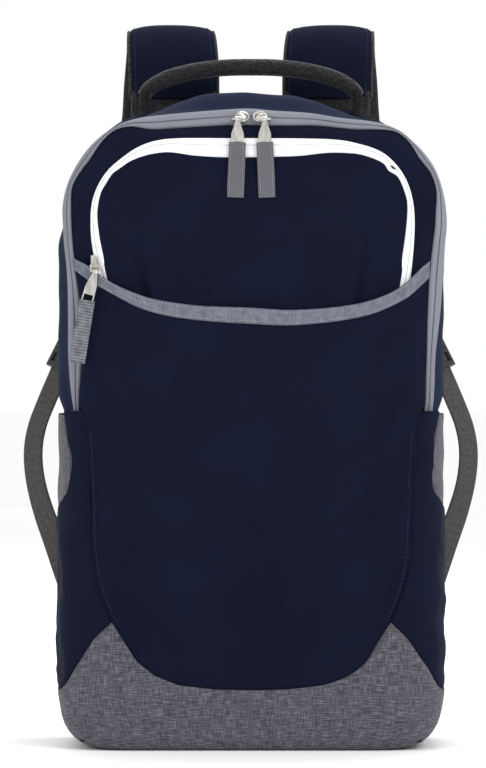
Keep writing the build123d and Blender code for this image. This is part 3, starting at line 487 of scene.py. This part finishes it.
# ------------------------------------------------------------------ 5 side wraps and side pockets, x mirrored
def on_plan(s):
    return np.interp(s, PLAN_L, PLAN[:, 0]), np.interp(s, PLAN_L, PLAN[:, 1])
def s_of_x(x):
    return np.interp(np.abs(x), PLAN[:FRONT_K, 0], PLAN_L[:FRONT_K])
def s_of_y(y):
    return np.interp(y, PLAN[FRONT_K - 3:, 1], PLAN_L[FRONT_K - 3:])
CUT = [(s_of_x(138.2), 246), (s_of_x(137.1), 241.7), (s_of_x(134.8), 226.9), (s_of_x(132.8), 211.7), (s_of_x(134.2), 196), (s_of_x(138), 186.2), (s_of_y(-40), 174), (s_of_y(-15), 168), (s_of_y(20), 161), (s_of_y(60), 158)]
CUT = catmull(CUT, 6)
for sg, tag in ((-1, "left"), (1, "right")):
    seam = cSL.copy(); seam[:, 0] = s_of_x(seam[:, 0])
    out_h = [(s_of_x(x), z) for x, z in ((102.2, 94), (109, 88.5), (116, 82), (129, 62), (137, 47), (141.5, 43.4))] + [(s_of_y(-30), 43), (s_of_y(60), 43)]
    zs = np.concatenate([np.linspace(43.2, 94, 26), np.linspace(95, 157.5, 28), np.linspace(158.1, 176, 30), np.linspace(177.5, 246, 42), [247.6, 249.2]])
    oh = A(out_h[:6])[::-1]; sd = seam[::-1]; cd = CUT[::-1]
    left = np.where(zs < 94, np.interp(zs, oh[:, 1], oh[:, 0]), np.interp(zs, sd[:, 1], sd[:, 0])); right = np.where(zs < 158, s_of_y(60), np.interp(zs, cd[:, 1], cd[:, 0]))
    S = np.stack([left[:, None] + (right - left)[:, None] * np.linspace(0, 1, 56)[None], np.broadcast_to(zs[:, None], (len(zs), 56))], -1)
    x, y = on_plan(S[..., 0]); z = S[..., 1]; m = noise(S[..., 0], z, 46, 40 + sg) * 0.9 + 0.35 * noise(S[..., 0], z, 18, 44 + sg)
    seamd = dist_poly(S[..., 0], z, seam); edge = np.minimum(seamd, dist_poly(S[..., 0], z, A(out_h)))
    inn = 1.5 * np.exp(-(edge / 2.2) ** 2); f = smooth(96, 138, np.abs(x)); m = m * smooth(0, 14, edge)
    P = np.stack([sg * (x + (m - inn) * f), y - (m - inn) * (1 - f), z], -1)
    w = grid("side_wrap_" + tag, P, NAVY, thick=1.3, lining=LINING, out=(sg, -0.6, 0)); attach(w, "bag")
    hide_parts("side_pocket_front_" + tag)
    c = resample(CUT, 48); te = resample(A([CUT[0], (s_of_y(-40), 247.4), (s_of_y(10), 247), (s_of_y(60), 247)]), 48)
    S = A([lerp(c, te, k) for k in np.linspace(-0.03, 1, 22)]); x, y = on_plan(S[..., 0]); z = S[..., 1]
    m = 0.8 * noise(S[..., 0], z, 40, 50 + sg) - 1.0; f = smooth(120, 140, np.abs(x))
    h = grid("side_pocket_" + tag, np.stack([sg * (x + m * f), y - m * (1 - f), z], -1), HEATH, thick=1.3, lining=LINING, out=(sg, 0, 0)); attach(h, "bag")
    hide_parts("side_pocket_" + tag)
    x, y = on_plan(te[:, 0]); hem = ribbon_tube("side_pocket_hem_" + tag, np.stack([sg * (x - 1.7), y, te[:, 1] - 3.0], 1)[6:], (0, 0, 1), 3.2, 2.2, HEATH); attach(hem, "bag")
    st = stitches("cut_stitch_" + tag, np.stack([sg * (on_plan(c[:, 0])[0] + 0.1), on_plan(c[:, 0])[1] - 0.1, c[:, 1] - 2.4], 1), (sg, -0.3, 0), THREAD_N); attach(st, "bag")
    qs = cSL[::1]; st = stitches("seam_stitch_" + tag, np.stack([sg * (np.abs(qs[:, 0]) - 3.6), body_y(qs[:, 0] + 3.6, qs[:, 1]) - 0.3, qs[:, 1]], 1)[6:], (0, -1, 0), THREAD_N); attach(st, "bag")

# ------------------------------------------------------------------ 6 heather base: one closed tray
sring = np.concatenate([np.linspace(0, s_of_x(102.2), 40), np.linspace(s_of_x(102.2), s_of_x(141.5), 26)[1:], np.linspace(s_of_x(141.5), PLAN_L[-1], 18)[1:]])
px_, py_ = on_plan(sring); backx = np.linspace(130, 0, 14)[1:]
rx = np.concatenate([px_, backx]); ry = np.concatenate([py_, np.full(len(backx), 75.2)])
ztop = np.where(sring <= s_of_x(141.99), np.interp(px_, [x for x, z in HEATHER[10:]], [z for x, z in HEATHER[10:]]), 43.2); ztop = np.concatenate([ztop, np.full(len(backx), 43.2)])
rx = np.concatenate([rx, -rx[-2:0:-1]]); ry = np.concatenate([ry, ry[-2:0:-1]]); ztop = np.concatenate([ztop, ztop[-2:0:-1]])
levels = [0.0, 0.3, 1.2, 2.8, 5, 8, 12, 17, 23, 29]; rows = [np.stack([rx * k, ry * k, rx * 0 + 0.15], 1) for k in (0.02, 0.35, 0.62)]
def tray(z):
    hw = 142.0 - (30 - np.sqrt(np.maximum(0, 900 - np.clip(30 - z, 0, 30) ** 2))) * 0.97; ins = 9 - np.sqrt(np.maximum(0, 81 - np.clip(9 - z, 0, 9) ** 2))
    k = 1 - ins / 78.0; f = smooth(24, 44, z); full = np.abs(rx) / 144.4
    x = rx * ((hw / 144.4) * (1 - f) + f); return np.stack([x, ry * k, z * np.ones_like(rx)], 1)
for z in levels: rows.append(tray(np.full(len(rx), float(z))))
for k in np.linspace(0.1, 1, 11): rows.append(tray(29 + (ztop - 29) * k))
T = A(rows); g = np.where(np.arange(len(T)) >= 12, 1, 0)[:, None]
seamline = np.abs(T[..., 2] - ztop[None]); n_ = 0.5 * noise(T[..., 0], T[..., 2] + T[..., 1], 50, 61) * g
frontm = (T[..., 1] < -60); T[..., 1] += np.where(frontm, -n_ + 1.4 * np.exp(-(seamline / 2.2) ** 2) * g, 0); T[..., 0] += np.where(frontm, 0, np.sign(T[..., 0]) * (n_ * 0.6))
base = grid("heather_base", T, HEATH, wrap=True, thick=1.5, lining=LINING, out=(0, 1, 0), uv=np.stack([np.broadcast_to(cum(np.stack([rx, ry], 1))[None], T.shape[:2]), T[..., 2]], -1))
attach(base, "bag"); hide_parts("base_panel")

# ------------------------------------------------------------------ 7 back panel, lining faces
zz = np.concatenate([np.linspace(40, 400, 40), 478 - 78 * np.cos(np.linspace(0, math.pi / 2, 22))[1:] ** 1.0]); hwz = np.where(zz < 408, 132.5, 62.5 + np.sqrt(np.maximum(0, 70 ** 2 - (zz - 408) ** 2)))
u = np.linspace(-1, 1, 60); X = hwz[:, None] * u[None]; Z = np.broadcast_to(zz[:, None], X.shape); e = np.minimum((1 - np.abs(u))[None] * hwz[:, None], (478.6 - Z))
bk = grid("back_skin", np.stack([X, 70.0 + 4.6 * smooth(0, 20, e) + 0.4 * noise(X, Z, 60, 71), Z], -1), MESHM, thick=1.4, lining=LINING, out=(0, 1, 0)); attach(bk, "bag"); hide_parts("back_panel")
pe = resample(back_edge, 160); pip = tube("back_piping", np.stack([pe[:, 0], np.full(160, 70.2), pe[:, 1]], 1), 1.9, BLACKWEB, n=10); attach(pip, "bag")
def plate(name, x0, x1, z0, z1, y, out, body, node, mat=LINING, dome=1.0, f=None):
    X, Z = np.meshgrid(np.linspace(x0, x1, 30), np.linspace(z0, z1, 30)); Y = y + 0.5 * noise(X, Z, 50, 81) * dome
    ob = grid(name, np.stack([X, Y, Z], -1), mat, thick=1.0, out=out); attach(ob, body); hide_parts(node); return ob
plate("front_lower_lining", -131, 131, 45, 246, -70.5, (0, 1, 0), "bag", "front_lower_panel")
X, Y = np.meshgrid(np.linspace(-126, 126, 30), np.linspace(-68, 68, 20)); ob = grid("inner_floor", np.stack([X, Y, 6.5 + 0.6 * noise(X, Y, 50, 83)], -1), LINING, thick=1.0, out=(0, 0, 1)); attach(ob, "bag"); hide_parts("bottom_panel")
fi = C_BI * 1.0; zz2 = np.concatenate([np.linspace(254, 395, 22), 395 + 62 * np.sin(np.linspace(0, math.pi / 2, 18))[1:]]); h2 = np.where(zz2 < 403, 121, 68 - 15 + np.sqrt(np.maximum(0, 68 ** 2 - (zz2 - 391) ** 2)) * 1.0); h2 = np.minimum(h2, 121)
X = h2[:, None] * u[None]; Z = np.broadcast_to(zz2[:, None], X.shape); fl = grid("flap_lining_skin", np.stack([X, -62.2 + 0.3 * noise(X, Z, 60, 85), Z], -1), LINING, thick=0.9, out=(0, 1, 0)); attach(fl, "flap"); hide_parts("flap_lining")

# padded back panels: cloth simulation on a closed cushion, applied
def pad(name, outline, y0, y1, node, mat=MESHM, body="bag", cap=5.0):
    q = resample(np.vstack([outline, outline[:1]]), 73)[:-1]; c = q.mean(0); P = []
    for k, yy in ((0.02, y0), (0.5, y0), (0.97, y0), (1.0, y0 + 0.8), (1.0, (y0 + y1) / 2), (0.985, y1 - 1.6), (0.93, y1 - 0.8), (0.5, y1 - 0.5), (0.02, y1 - 0.5)):
        p = c + (q - c) * k; P.append(np.stack([p[:, 0], np.full(len(p), yy), p[:, 1]], 1))
    ob = grid(name, A(P), mat, wrap=True, caps=True, out=(0, 1, 0))
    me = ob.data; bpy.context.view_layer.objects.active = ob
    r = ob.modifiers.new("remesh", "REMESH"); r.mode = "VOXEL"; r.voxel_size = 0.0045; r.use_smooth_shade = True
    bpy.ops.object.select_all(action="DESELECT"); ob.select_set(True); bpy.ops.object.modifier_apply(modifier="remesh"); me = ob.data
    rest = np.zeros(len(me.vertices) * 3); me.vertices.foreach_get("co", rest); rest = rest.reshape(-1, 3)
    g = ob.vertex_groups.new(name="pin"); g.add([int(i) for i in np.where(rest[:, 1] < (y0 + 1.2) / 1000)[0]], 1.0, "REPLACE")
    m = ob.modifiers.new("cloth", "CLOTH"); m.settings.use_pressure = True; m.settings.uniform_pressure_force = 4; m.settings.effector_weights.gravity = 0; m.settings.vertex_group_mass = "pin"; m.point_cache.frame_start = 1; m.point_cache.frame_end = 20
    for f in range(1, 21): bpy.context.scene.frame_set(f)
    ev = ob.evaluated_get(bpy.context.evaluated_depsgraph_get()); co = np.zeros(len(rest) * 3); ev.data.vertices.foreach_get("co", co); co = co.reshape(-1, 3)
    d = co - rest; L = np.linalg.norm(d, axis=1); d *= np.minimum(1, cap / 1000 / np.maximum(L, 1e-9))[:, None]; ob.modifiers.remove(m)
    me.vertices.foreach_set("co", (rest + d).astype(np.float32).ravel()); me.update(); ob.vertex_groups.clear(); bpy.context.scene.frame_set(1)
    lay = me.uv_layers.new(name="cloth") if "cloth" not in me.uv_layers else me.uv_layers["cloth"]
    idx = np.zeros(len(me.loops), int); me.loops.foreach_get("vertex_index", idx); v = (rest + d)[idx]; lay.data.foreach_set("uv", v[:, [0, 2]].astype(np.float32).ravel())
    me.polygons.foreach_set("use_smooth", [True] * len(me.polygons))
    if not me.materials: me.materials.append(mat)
    s = ob.modifiers.new("sub", "SUBSURF"); s.levels = s.render_levels = 1
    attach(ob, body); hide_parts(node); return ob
def rbox(x0, x1, z0, z1, r):
    out = []
    for cx, cz, a in ((x1 - r, z1 - r, 0), (x0 + r, z1 - r, 90), (x0 + r, z0 + r, 180), (x1 - r, z0 + r, 270)):
        for k in np.linspace(0, 90, 8): out.append((cx + r * math.cos(math.radians(a + k)), cz + r * math.sin(math.radians(a + k))))
    return A(out)
pad("back_pad_left_soft", rbox(-103, -23, 151, 384, 20), 75.4, 83, "back_pad_left")
pad("back_pad_right_soft", rbox(23, 103, 151, 384, 20), 75.4, 83, "back_pad_right")
pad("back_pad_lower_soft", rbox(-103, 103, 73, 139, 20), 75.4, 83, "back_pad_lower")

# ------------------------------------------------------------------ 8 shoulder straps, webbing, buckles
PADP = A([(59,92,487,34,1,0),(59,93.5,505,34,1,0),(60,97.5,523,34,1,0),(61,105.5,536,33.5,1,0),(62,116,541,33,1,0),(63,127,536,32.5,1,0),(64,135,523,32,1,0),(66,138,500,32,1,0),(69,138,470,31,1,0),(75,136,440,30,1,.05),(84,132,410,29,1,.12),(96,126,380,27,1,.25),(110,117,352,24,1,.42),(122,108.5,330,20,1,.6)])
WEBP = A([(128.2,104.4,317,.7,.71),(138.5,98.6,298,.66,.75),(147,97,279,.62,.78),(157,95.5,256,.6,.8),(164.5,94.5,236,.58,.81),(167.5,94,216,.58,.81),(165.5,93,194,.6,.8),(159,91.5,170,.66,.75),(149,90,144,.75,.66),(138,88.5,116,.86,.5),(127,87,90,.93,.35),(119,86,70,.96,.25)])
for sg, tag in ((1, "right"), (-1, "left")):
    M_ = A([sg, 1, 1]); d = catmull(PADP, 7); p = d[:, :3] * M_; side = np.stack([d[:, 4] * sg, d[:, 5], d[:, 4] * 0], 1)
    p, t = frames(p); side -= (side * t).sum(1)[:, None] * t; side /= np.linalg.norm(side, axis=1)[:, None]; nrm = np.cross(t, side) * sg; hw = d[:, 3]
    end = np.minimum(smooth(-1, 10, cum(p)), smooth(-1, 8, cum(p)[::-1][0] - cum(p)) if False else 1)
    def shell(name, prof, mat, node, body):
        P = A([p + side * (hw * a)[:, None] + nrm * (b * 1.0 + 0.25 * noise(cum(p), hw * a, 26, 90))[:, None] for a, b in prof]).transpose(1, 0, 2)
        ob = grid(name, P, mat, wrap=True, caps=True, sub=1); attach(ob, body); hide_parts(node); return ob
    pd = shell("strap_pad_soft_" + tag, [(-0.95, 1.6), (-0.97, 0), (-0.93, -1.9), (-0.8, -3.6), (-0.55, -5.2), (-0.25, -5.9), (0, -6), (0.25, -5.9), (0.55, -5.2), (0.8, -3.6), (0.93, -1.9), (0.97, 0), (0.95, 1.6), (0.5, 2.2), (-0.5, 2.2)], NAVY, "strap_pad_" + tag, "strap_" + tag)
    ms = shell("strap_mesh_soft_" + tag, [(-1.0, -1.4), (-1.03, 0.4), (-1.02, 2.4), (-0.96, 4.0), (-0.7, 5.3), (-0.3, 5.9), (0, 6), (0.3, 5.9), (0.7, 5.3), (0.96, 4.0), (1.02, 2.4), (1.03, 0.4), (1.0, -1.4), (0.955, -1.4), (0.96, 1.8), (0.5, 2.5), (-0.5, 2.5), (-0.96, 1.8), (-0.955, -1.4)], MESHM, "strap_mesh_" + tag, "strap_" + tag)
    for i, s_ in enumerate((-1, 1)):
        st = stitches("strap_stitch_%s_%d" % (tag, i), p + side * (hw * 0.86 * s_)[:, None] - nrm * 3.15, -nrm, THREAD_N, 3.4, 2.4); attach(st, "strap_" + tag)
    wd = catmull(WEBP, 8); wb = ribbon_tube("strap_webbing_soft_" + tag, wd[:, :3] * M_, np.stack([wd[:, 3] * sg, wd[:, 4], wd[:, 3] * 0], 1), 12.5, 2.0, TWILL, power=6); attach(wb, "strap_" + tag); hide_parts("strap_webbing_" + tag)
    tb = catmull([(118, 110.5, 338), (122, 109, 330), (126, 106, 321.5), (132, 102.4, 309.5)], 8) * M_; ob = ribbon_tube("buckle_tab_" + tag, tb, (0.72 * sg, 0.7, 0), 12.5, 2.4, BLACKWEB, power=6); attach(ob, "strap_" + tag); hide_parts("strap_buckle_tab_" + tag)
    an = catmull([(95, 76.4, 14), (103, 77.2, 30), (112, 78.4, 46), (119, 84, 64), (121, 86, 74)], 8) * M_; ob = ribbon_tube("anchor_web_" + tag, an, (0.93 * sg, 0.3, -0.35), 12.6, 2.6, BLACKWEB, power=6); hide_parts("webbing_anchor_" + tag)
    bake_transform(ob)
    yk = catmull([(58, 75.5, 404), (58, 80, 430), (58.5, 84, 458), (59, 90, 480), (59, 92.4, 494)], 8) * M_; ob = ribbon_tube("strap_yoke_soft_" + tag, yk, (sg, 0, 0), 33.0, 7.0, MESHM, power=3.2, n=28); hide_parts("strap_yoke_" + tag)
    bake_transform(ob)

# ------------------------------------------------------------------ 9 grab handle
H = [(-82, 488), (-76, 495.5), (-62, 502.5), (-42, 507.5), (-21, 510), (0, 510.5), (21, 510), (42, 507.5), (62, 502.5), (76, 495.5), (82, 488)]
hp = catmull(H, 8); hp = np.stack([hp[:, 0], np.full(len(hp), 60.0), hp[:, 1]], 1); k = 6.4 - 0.9 * smooth(60, 82, np.abs(hp[:, 0]))
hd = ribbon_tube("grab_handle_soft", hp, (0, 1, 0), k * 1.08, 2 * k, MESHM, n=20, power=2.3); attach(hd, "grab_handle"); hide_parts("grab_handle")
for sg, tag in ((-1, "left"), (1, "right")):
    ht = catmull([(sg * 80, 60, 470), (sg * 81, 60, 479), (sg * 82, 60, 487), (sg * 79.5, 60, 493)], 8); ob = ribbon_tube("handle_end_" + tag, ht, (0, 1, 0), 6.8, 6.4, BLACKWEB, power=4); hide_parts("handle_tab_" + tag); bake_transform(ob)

# ------------------------------------------------------------------ 10 pull ribbons
def pull_ribbon(name, top, bot, mat, body, node, side, w=5.75, thick=2.4):
    t, b = A(top), A(bot); path = A([lerp(t, b, k) for k in np.linspace(0, 1, 24)]); path[:, 1] += 0.5 * np.sin(np.linspace(0, math.pi, 24))
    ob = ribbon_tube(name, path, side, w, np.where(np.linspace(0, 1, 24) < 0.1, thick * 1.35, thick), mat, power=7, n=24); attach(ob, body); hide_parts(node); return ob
for sg, tag in ((-1, "left"), (1, "right")):
    pull_ribbon("main_ribbon_soft_" + tag, (sg * 10, -78.1, 446.4), (sg * 11.6, -77.9, 405.8), RIBBON, "main_pull_ribbon_" + tag, "main_pull_ribbon_" + tag, (1, 0, sg * 0.04), w=6.2, thick=1.5)
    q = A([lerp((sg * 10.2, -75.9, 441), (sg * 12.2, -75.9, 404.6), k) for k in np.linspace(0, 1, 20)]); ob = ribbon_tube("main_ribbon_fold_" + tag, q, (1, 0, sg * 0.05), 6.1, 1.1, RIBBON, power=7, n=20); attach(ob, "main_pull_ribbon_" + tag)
    for x_ in (-4.6, 4.6):
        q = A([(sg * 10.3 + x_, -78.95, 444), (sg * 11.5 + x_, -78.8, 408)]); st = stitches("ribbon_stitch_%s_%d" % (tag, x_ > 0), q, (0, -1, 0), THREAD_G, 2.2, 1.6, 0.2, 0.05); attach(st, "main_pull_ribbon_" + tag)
    an = np.linspace(0, math.tau, 41)[:-1]; ctr = A([sg * 6.4, -70.6, 465.6]); ring_ = np.stack([ctr[0] + 4.6 * np.cos(an), ctr[1] - 0.9 * np.cos(an) * sg, ctr[2] + 3.3 * np.sin(an)], 1)
    P = []
    for k, c in enumerate(ring_):
        r0 = c - ctr; r0 /= np.linalg.norm(r0); P.append([c + 0.85 * (r0 * math.cos(g) + A([0, -1, 0]) * math.sin(g)) for g in np.linspace(0, math.tau, 10, endpoint=False)])
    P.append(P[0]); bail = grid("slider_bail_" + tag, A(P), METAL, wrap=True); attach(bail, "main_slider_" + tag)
    cr = []
    for k, (rr, yy) in enumerate(((4.4, -65.9), (4.6, -67.4), (4.1, -68.9), (2.9, -69.8), (0.4, -70.1))):
        cr.append([(sg * 8.0 + rr * 1.15 * math.cos(g) * (1.0 - 0.12 * math.cos(g) * sg), yy, 464.6 + rr * 0.82 * math.sin(g)) for g in np.linspace(0, math.tau, 28, endpoint=False)])
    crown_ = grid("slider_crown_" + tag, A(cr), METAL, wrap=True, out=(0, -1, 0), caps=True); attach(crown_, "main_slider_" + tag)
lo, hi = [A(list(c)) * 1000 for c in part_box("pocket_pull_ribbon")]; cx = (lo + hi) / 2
pull_ribbon("pocket_ribbon_soft", (-120.2, cx[1], 330.4), (-127.6, cx[1], 284.6), RIBRIB, "pocket_pull_ribbon", "pocket_pull_ribbon", (0.987, 0, -0.16))

# ------------------------------------------------------------------ carried-over CAD parts get their finish
def paint(mat, *names):
    for n in names:
        o = frame["nodes"][n] if not isinstance(frame["nodes"], list) else bpy.data.objects[n]
        o = bpy.data.objects.get(o) if isinstance(o, str) else o
        for s in o.material_slots: s.material = mat
        if not o.material_slots: o.data.materials.append(mat)
paint(METAL, "main_slider_left", "main_slider_right", "main_pull_left", "main_pull_right", "pocket_slider", "pocket_pull")
paint(PLASTIC, "ladder_lock_left", "ladder_lock_right")
TAPEO = weave("grey_tape_end", lin(116, 120, 134), lin(150, 154, 168), coords="object", rough=0.85, spec=0.2); paint(TAPEO, "main_zip_stop_left", "main_zip_stop_right")

# ------------------------------------------------------------------ stage, light, camera
sc = bpy.context.scene
fm = Mat("pale_floor", rough=0.9, spec=0.1, coords="object"); fm.ramp(fm.noise(900, 900), (0.3, (0.95, 0.95, 0.95, 1)), (0.7, (0.98, 0.98, 0.98, 1)))
V, F, R_n = [], [], 72
prof = [(0.02, 0), (3, 0), (12, 0), (40, 0)]
for r, z in prof:
    for i in range(R_n): V.append((r * 1000 * math.cos(math.tau * i / R_n), r * 1000 * math.sin(math.tau * i / R_n), z * 1000 - 0.2))
for j in range(len(prof) - 1):
    for i in range(R_n): F.append((j * R_n + i, j * R_n + (i + 1) % R_n, (j + 1) * R_n + (i + 1) % R_n, (j + 1) * R_n + i))
F.append(tuple(range(R_n)))
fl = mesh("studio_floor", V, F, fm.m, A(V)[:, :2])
wd_ = bpy.data.worlds.new("studio"); sc.world = wd_; wd_.use_nodes = True; bgn = wd_.node_tree.nodes["Background"]; bgn.inputs[0].default_value = (1, 1, 1, 1); bgn.inputs[1].default_value = 1.0
def area(name, loc, to, size, power):
    l = bpy.data.lights.new(name, "AREA"); l.shape = "DISK"; l.size = size; l.energy = power; o = bpy.data.objects.new(name, l); sc.collection.objects.link(o)
    o.location = loc; o.rotation_euler = (Vector(to) - Vector(loc)).to_track_quat("-Z", "Y").to_euler()
area("key", (1.6, -2.2, 2.0), (0, 0, 0.3), 1.3, 34)
area("fill", (-2.2, -2.0, 1.2), (0, 0, 0.25), 1.8, 12)
area("top", (0.2, 0.9, 2.4), (0, 0, 0.4), 1.2, 22)
area("rear", (-0.6, 2.6, 1.6), (0, 0, 0.3), 1.6, 20)
cam = bpy.data.cameras.new("camera"); cam.lens = 225; cam.sensor_width = 36; cam.clip_start = 0.05; cam.clip_end = 60
co = bpy.data.objects.new("camera", cam); sc.collection.objects.link(co); co.location = (-0.006, -3.6, 0.269); co.rotation_euler = (math.pi / 2, 0, 0); sc.camera = co
sc.view_settings.view_transform = "Standard"
